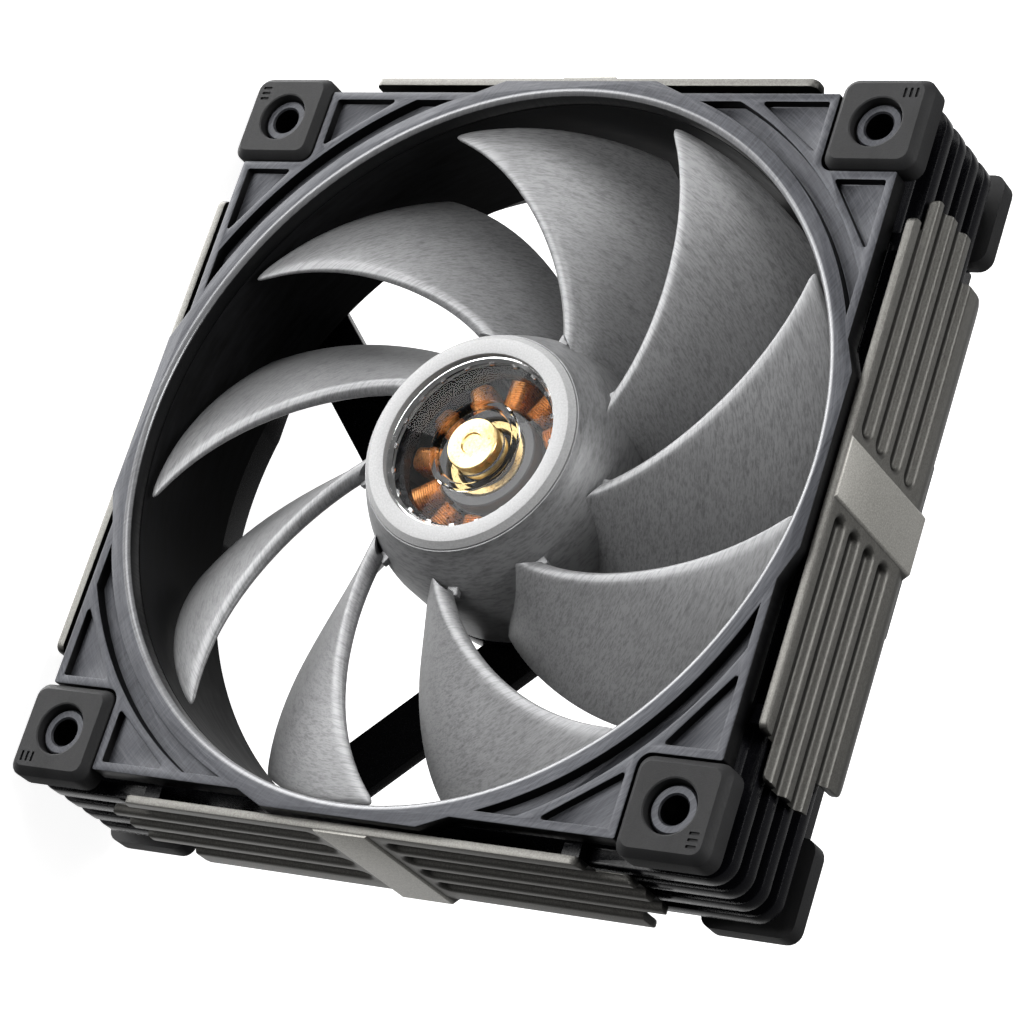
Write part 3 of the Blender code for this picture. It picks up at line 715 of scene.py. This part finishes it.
def pad_mesh():
    """A pad about its screw's axis, front face at 0: chamfered outside, with a rounded mouth to its hole."""
    half, corner, deep, hole, steps = 7.35, 2.1, 4.3, 3.95, 96
    offset = (PAD_HALF - half - SCREW,) * 2
    directions = [360 * (i + 0.5) / steps for i in range(steps)]
    rings = []
    for inset, height in ((0.0, -deep), (0.0, -1.3), (0.07, -1.12), (0.98, -0.12), (1.16, 0.0)):
        size = corner - 0.55 * inset
        ring = [square_point(angle, half - inset, size, offset) for angle in directions]
        rings.append([(point.x, point.y, height) for point in ring])
    for radius, height in ((hole + 0.3, 0.0), (hole + 0.08, -0.1), (hole, -0.35), (hole, -deep)):
        rings.append([(*polar(radius, angle), height) for angle in directions])
    return loft(rings, closed_along=True)


def with_marks(pad):
    """The pad with three short plain grooves beside its hole."""
    start, pitch, wide, low, high, deep = 3.1, 0.95, 0.45, 4.0, 5.6, 0.3
    marks = []
    for i in range(3):
        x = start + pitch * i
        mark = filleted(box_outline(x, x + wide, low, high), 0.15, 3)
        marks.append(prism(mark, -deep, 1))
    return combined(pad, marks)


def add_pads():
    plain = pad_mesh()
    marked = with_marks(plain.copy())
    to_corner = Matrix.Translation((SCREW, SCREW, 0))
    over = Matrix.Translation((0, 0, -DEPTH)) @ Matrix.Rotation(math.pi, 4, Vector((1, 1, 0)))
    for corner in range(4):
        turn = Matrix.Rotation(math.radians(90 * corner), 4, "Z")
        for side, mesh, flip in (("front", marked, Matrix()), ("rear", plain, over)):
            pad = mesh.copy()
            pad.transform(turn @ flip @ to_corner)
            node = f"{side}_pad_{corner + 1}"
            add_piece(f"pad_{side}_{corner + 1}", pad, RUBBER, "frame", [node], 24)


add_pads()

# Side plates: a section is in (distance from the axis, height) and a plan in (along the side, height)

PLATE_FRONT, PLATE_BACK = -2.9, -28.9
BAND_HALF = 4.4
GROOVE_MIDDLES = (-6.8, -11.6, -16.6, -21.6)
# Local Z becomes local X: a prism of a plan then stands on the fan's side.
STAND = Matrix(((0, 0, 1), (1, 0, 0), (0, 1, 0))).to_4x4()


def plate_blank():
    """A plate with its stepped outline and its sloping rear edge, before the grooves."""
    section = [
        (INNER, PLATE_BACK),
        (RIDGE - 0.85, PLATE_BACK),
        (RIDGE - 0.45, PLATE_BACK + 0.9),
        (RIDGE - 0.12, PLATE_BACK + 2.0),
        (RIDGE, PLATE_BACK + 3.2),
        (RIDGE, PLATE_FRONT),
        (INNER, PLATE_FRONT),
    ]
    beyond = 46
    plate = prism(section, -beyond, beyond)
    plate.transform(Matrix.Rotation(math.radians(90), 4, "X"))

    long, short, step_front, step_back = 44.8, 39.2, -7.7, -20.8
    half_plan = [
        (short, PLATE_FRONT),
        (short, step_front),
        (long, step_front),
        (long, step_back),
        (short, step_back),
        (short, PLATE_BACK),
    ]
    half_fillets = [1.3, 0.5, 1.4, 1.6, 0.6, 2.6]
    plan = half_plan + [(-x, y) for x, y in reversed(half_plan)]
    outline = prism(filleted(plan, half_fillets + half_fillets[::-1], 5), INNER - 1, BAND + 1)
    outline.transform(STAND)
    return bevelled(combined(plate, [outline], "INTERSECT"), 0.22)


def groove_cutters():
    """Troughs from beside the band to past the plate's ends, with rounded floors and flared edges."""
    width, start, end, floor = 2.6, 6.3, 50, RIDGE - 1.15
    # How far a trough stands outside its width at each height, from its floor to above the band
    flanks = [(-0.6, floor), (-0.35, floor + 0.08), (-0.12, floor + 0.3), (0.0, floor + 0.55)]
    flanks += [(0.12, RIDGE - 0.38), (0.32, RIDGE - 0.16), (0.6, RIDGE - 0.04), (0.9, RIDGE + 0.01)]
    flanks.append((0.9, BAND + 1))
    grooves = []
    for middle in GROOVE_MIDDLES:
        for side in (-1, 1):
            rings = []
            for grow, height in flanks:
                half, near = width / 2 + grow, start - grow
                corners = box_outline(side * near, side * end, middle - half, middle + half)
                trough = filleted(corners, [half * 0.95, 0, 0, half * 0.95])
                rings.append([(height, x, y) for x, y in trough])
            grooves.append(loft(rings, caps=True))
    return grooves


def band_mesh():
    """The plain raised band across a plate's middle, with sloping flanks."""
    base = INNER + 0.5
    reach = BAND_HALF + BAND - base
    outline = [(base, -reach), (BAND, -BAND_HALF), (BAND, BAND_HALF), (base, reach)]
    return bevelled(prism(outline, PLATE_BACK + 0.25, PLATE_FRONT - 0.1), 0.12)


def add_side_plates():
    plate = joined([combined(plate_blank(), groove_cutters()), band_mesh()])
    for side in range(4):
        node = f"side_plate_{side + 1}"
        add_piece(f"cover_{side + 1}", turned_copy(plate, 90 * side), PLATE, "frame", [node])


def add_plate_lugs():
    """The lugs that hold the plates off the frame."""
    inner, outer, half_wide, half_thick = 56.8, 60.2, 1.4, 0.8
    lugs = []
    for along in (-36.2, 36.2):
        for height in (-6.2, -25.6):
            lug = filleted(box_outline(inner, outer, along - half_wide, along + half_wide), 0.3, 3)
            lugs += around(prism(lug, height - half_thick, height + half_thick))
    add_piece("plate_lugs", joined(lugs), BLACK, "frame", ["main_frame"])


add_side_plates()
add_plate_lugs()

# Impeller: where the blades end, the hub's radius, and the first blade's angle

TIP, HUB = 56.4, 22.0
BLADES, PHASE = 9, 33.9
HUB_TOP, HUB_SKIRT = -4.3, -15.0


def hub_radius(height):
    """The hub's radius, which is full up to its skirt and then curves in toward the ring."""
    if height <= HUB_SKIRT:
        return HUB
    return HUB - 4.0 * ((height - HUB_SKIRT) / (HUB_TOP - HUB_SKIRT)) ** 1.75


def leading_edge(radius):
    """Where a blade's front edge passes a radius, as (angle, height)."""
    inward = (TIP - radius) / 36.0
    angle = -0.3 - 42.5 * inward + 19.0 * inward**2 - 20.1 * inward**3
    return angle, -4.4 - 0.6 * inward - 6.8 * inward**2 + 3.8 * inward**3


def trailing_edge(radius):
    """Where a blade's rear edge passes a radius, as (angle, height)."""
    inward = (TIP - radius) / 34.4
    angle = -32.2 - 42.7 * inward + 23.4 * inward**2 - 22.7 * inward**3
    return angle, -18.0 - 9.6 * inward + 8.9 * inward**2 - 5.0 * inward**3


def blade_point(radius, chord, side):
    """A point on a blade, as (angle, height). Chord runs from 0 at the leading edge to 1 at the trailing
    edge, and side is 1 or -1."""
    (angle_1, height_1), (angle_2, height_2) = leading_edge(radius), trailing_edge(radius)
    from_tip = TIP - radius
    span = from_tip / (TIP - HUB)
    along = Vector((math.radians(angle_2 - angle_1) * radius, height_2 - height_1))
    normal = Vector((along.y, -along.x)).normalized()

    # The section has a round nose and thins toward its tail. The tip's edges are rounded.
    nose, tail = 0.075, 0.55
    body = 1.0 - (1.0 - tail) * max(0.0, chord - nose) / (1 - nose)
    if chord < nose:
        body = math.sqrt(max(0.0, 1 - (1 - chord / nose) ** 2))
    tip_round = 1 - 0.5 * max(0.0, 1 - from_tip / 0.5)
    thickness = (1.2 + 1.9 * span) * body * tip_round

    # The leading edge's outer corner is rounded off.
    corner, cut = 1.6, 0.045
    past = min(1.0, max(0.0, 1 - from_tip / corner))
    chord += cut * (1 - math.sqrt(1 - past**2)) * (1 - chord)
    camber = (0.055 - 0.02 * span) * along.length * 4 * chord * (1 - chord)
    place = along * chord + normal * (camber + side * thickness / 2)
    return angle_1 + math.degrees(place.x / radius), height_1 + place.y


def blade_mesh():
    """The first blade, from inside the hub's surface to the tip, with the ledge beside its root."""
    nose = [0, 0.003, 0.01, 0.022, 0.04, 0.06, 0.085, 0.12, 0.17]
    chords = nose + [nose[-1] + (1 - nose[-1]) * (i + 1) / 16 for i in range(16)]
    foil = [(chord, 1) for chord in chords] + [(chord, -1) for chord in reversed(chords[1:])]
    spans = [0.95 * i / 22 for i in range(23)] + [0.965, 0.978, 0.988, 0.995, 0.998, 1.0]
    sunk, swell, swell_chord = 0.7, 2.2, 0.09
    rings = []
    for span in spans:
        ring = []
        for chord, side in foil:
            _, height = blade_point(HUB, chord, side)
            root = hub_radius(height) - sunk + swell * max(0.0, 1 - chord / swell_chord) ** 1.5
            radius = root + (TIP - root) * span
            angle, height = blade_point(radius, chord, side)
            ring.append((*polar(radius, angle), height))
        rings.append(ring)

    edge_angle, edge_height = leading_edge(HUB)
    ledge = prism(box_outline(19.6, 21.9, -1.6, 0.2), edge_height - 2.4, edge_height - 1.2)
    ledge = turned_copy(bevelled(ledge, 0.15), edge_angle + 1.9)
    return joined([loft(rings, caps=True), ledge])


def add_blades():
    blade = turned_copy(blade_mesh(), PHASE)
    for i, mesh in enumerate(around(blade, BLADES)):
        add_piece(f"blade_{i + 1}", mesh, BLADE, "rotor", ["impeller"], 50)


def add_hub():
    """The hub's shell, hollow below, with a stepped seat for the ring and the window."""
    profile = []
    for i in range(18):
        height = HUB_TOP - 0.6 * i
        profile.append((hub_radius(height), height))
    profile += [(HUB, -15.2), (HUB, -25.3), (21.7, -25.8), (20.7, -25.8), (20.4, -25.5), (20.4, -13.0)]
    profile += [(19.3, -9.8), (17.6, -7.7), (12.8, -7.3), (12.8, -6.1), (13.9, -6.1), (13.9, -4.05)]
    profile += [(17.5, -4.05), (17.5, -3.35), (17.66, -3.4), (17.8, -3.65)]
    add_piece("hub_shell", lathe(profile, 160), BLADE, "rotor", ["impeller"])

    ring = [(16.35, -2.3), (16.5, -2.34), (17.4, -3.15), (17.45, -3.3), (17.45, -4.0), (14.0, -4.0)]
    ring += [(14.0, -2.55), (14.08, -2.36), (14.25, -2.3)]
    add_piece("hub_ring_satin", lathe(ring, 160), RING, "rotor", ["hub_ring"], 20)


add_blades()
add_hub()

# Window, brass centre and what shows through the window


def add_window():
    """The clear pane with its raised centre, the dark seat under it and the bright edge round it."""
    pane = [(13.75, -4.0), (13.75, -4.9), (7.4, -5.1), (6.9, -5.6), (4.6, -5.6), (4.6, -4.9), (6.0, -4.9)]
    pane += [(6.2, -4.35), (6.45, -4.2), (7.2, -4.2), (7.45, -4.35), (7.6, -4.3), (13.4, -4.1)]
    glass = add_piece("window_pane", lathe(pane), CLEAR, "rotor", ["hub_window"], 25)
    # The pane would otherwise darken the coils.
    glass.visible_shadow = False

    seat = [(13.88, -5.6), (13.88, -6.05), (12.74, -6.05), (12.74, -7.7), (12.6, -7.7), (12.6, -5.95)]
    seat.append((13.6, -5.75))
    add_piece("window_seat", lathe(seat), BLACK, "rotor", ["impeller"])

    edge = [(13.95, -3.3), (13.95, -4.0), (13.5, -4.0), (13.3, -3.85), (13.75, -3.35)]
    clips = [lathe(edge)]
    clip = filleted(box_outline(12.9, 13.6, -0.45, 0.45), 0.2, 3)
    for i in range(20):
        clips.append(turned_copy(prism(clip, -4.05, -3.75), 18 * i + 5))
    add_piece("window_edge", joined(clips), CHROME, "rotor", ["hub_window"])


def add_centre():
    """The brass disc in the window, and the tube and collar that show below it."""
    brass = [(3.7, -3.65), (4.0, -3.75), (4.13, -3.95), (4.13, -5.0), (3.6, -5.3), (3.6, -6.4), (4.1, -6.8)]
    brass += [(4.1, -7.5), (1.8, -7.5), (1.8, -4.9), (0.0, -4.9), (0.0, -3.95), (1.6, -3.95), (1.75, -3.65)]
    tube = [(6.1, -8.85), (6.27, -9.05), (6.27, -29.6), (4.9, -29.6), (4.9, -9.05), (5.1, -8.85)]
    collar = [(8.05, -8.45), (8.25, -8.7), (8.25, -11.2), (6.57, -11.2), (6.57, -8.7), (6.75, -8.45)]
    for name, profile, material, body, node, slot in (
        ("brass_centre", brass, BRASS, "rotor", "shaft_insert", "brass"),
        ("tube", tube, SLEEVE, "frame", "bearing_tube", "brass"),
        ("collar", collar, COLLAR, "frame", "upper_insulator", "insulator_plastic"),
    ):
        add_piece(name, lathe(profile, 96), material, body, [node], 25)


def coil_mesh():
    """A coil whose axis is local X. Each turn of wire is one ridge."""
    turns, pitch, wire = 14, 0.38, 0.14
    start, middle, half_deep, half_wide, corner = 8.9, -15.5, 5.5, 1.95, 1.4
    rings = []
    for i in range(2 * turns + 1):
        inset = wire * (i % 2 == 0)
        deep, wide = half_deep - inset, half_wide - inset
        corners = [(deep, wide), (-deep, wide), (-deep, -wide), (deep, -wide)]
        out = start + pitch * i / 2
        rings.append([(out, y, x + middle) for x, y in filleted(corners, corner - inset)])
    return loft(rings, caps=True)


def add_windings():
    coil = turned_copy(coil_mesh(), -1)
    for i, mesh in enumerate(around(coil, 12)):
        node = f"coil_{i + 1:02d}"
        add_piece(f"winding_{i + 1:02d}", mesh, COPPER, "frame", [node], 25)


add_window()
add_centre()
add_windings()

# The CAD solids that stay as they are, with their materials
KEPT_NODES = {
    "bearing_sleeve": SLEEVE,
    "oil_seal": RUBBER,
    "thrust_pad": COLLAR,
    "stator_core": FERRITE,
    "lower_insulator": COLLAR,
    "circuit_board": BOARD,
    "driver_chip": FERRITE,
    "hall_sensor": FERRITE,
    "motor_cover": BEZEL,
    "rotor_shaft": STEEL,
    "rotor_yoke": STEEL,
    "rotor_magnet": FERRITE,
    "shaft_clip": STEEL,
}
for name, material in KEPT_NODES.items():
    slots = frame["nodes"][name].data.materials
    slots.clear()
    slots.append(material)


# Floor, lights and camera, in metres

AIM = Vector((0.01203, -0.0159, 0.07514))
EYE = Vector((0.18805, -0.41661, 0.36253))
ROLL = 94.4696
LENS, SENSOR = 130.2, 36
# The direction in which the pale backdrop is brightest
BACKDROP = Vector((-0.34, 0.55, -0.76))


def add_stage():
    """A floor that glows and shows only to the camera, so it doesn't brighten the fan's black parts."""
    top, thick, near, far = -0.0002, 0.02, -4, 6
    floor = prism(box_outline(near, far, near, far), -thick, top)
    floor.materials.append(floor_white())
    obj = bpy.data.objects.new("floor", floor)
    bpy.context.scene.collection.objects.link(obj)
    obj.visible_diffuse = False
    obj.visible_glossy = False
    obj.visible_shadow = False


def add_camera():
    camera = bpy.data.objects.new("camera", bpy.data.cameras.new("camera"))
    camera.data.lens = LENS
    camera.data.sensor_width = SENSOR
    camera.data.clip_start = 0.01
    turn = (AIM - EYE).to_track_quat("-Z", "Y").to_matrix().to_4x4()
    roll = Matrix.Rotation(math.radians(ROLL), 4, "Z")
    camera.matrix_world = Matrix.Translation(EYE) @ turn @ roll
    bpy.context.scene.collection.objects.link(camera)
    bpy.context.scene.camera = camera
    return camera


def add_light(camera, name, side, distance, size, power):
    """A square soft box that faces the fan; side is its direction as (right, up, back) of the camera."""
    data = bpy.data.lights.new(name, "AREA")
    data.shape = "RECTANGLE"
    data.size = data.size_y = size
    data.energy = power
    obj = bpy.data.objects.new(name, data)
    place = AIM + camera.matrix_world.to_3x3() @ Vector(side).normalized() * distance
    facing = (AIM - place).to_track_quat("-Z", "Y").to_matrix().to_4x4()
    obj.matrix_world = Matrix.Translation(place) @ facing
    bpy.context.scene.collection.objects.link(obj)


def add_world():
    """A backdrop that darkens away from its brightest direction."""
    world = bpy.data.worlds.new("studio")
    world.use_nodes = True
    tree = world.node_tree
    place = tree.nodes.new("ShaderNodeTexCoord")
    facing = tree.nodes.new("ShaderNodeVectorMath")
    facing.operation = "DOT_PRODUCT"
    facing.inputs[1].default_value = BACKDROP
    tree.links.new(place.outputs["Generated"], facing.inputs[0])
    glow = ramp(tree, facing.outputs["Value"], (0.3, 0.12), (0.95, 0.95))
    tree.links.new(glow, tree.nodes["Background"].inputs["Color"])
    bpy.context.scene.world = world


def add_lights(camera):
    add_light(camera, "left_softbox", (-0.75, 0.45, 0.45), 1.0, 0.6, 7)
    add_light(camera, "low_softbox", (-0.55, 0.65, -0.45), 0.9, 1.0, 17)
    add_light(camera, "high_softbox", (0.0, 0.9, 0.35), 1.0, 0.5, 3)
    add_light(camera, "right_softbox", (0.8, 0.2, 0.5), 1.0, 0.5, 7)


add_stage()
add_lights(add_camera())
add_world()
bpy.context.scene.view_settings.view_transform = "Standard"
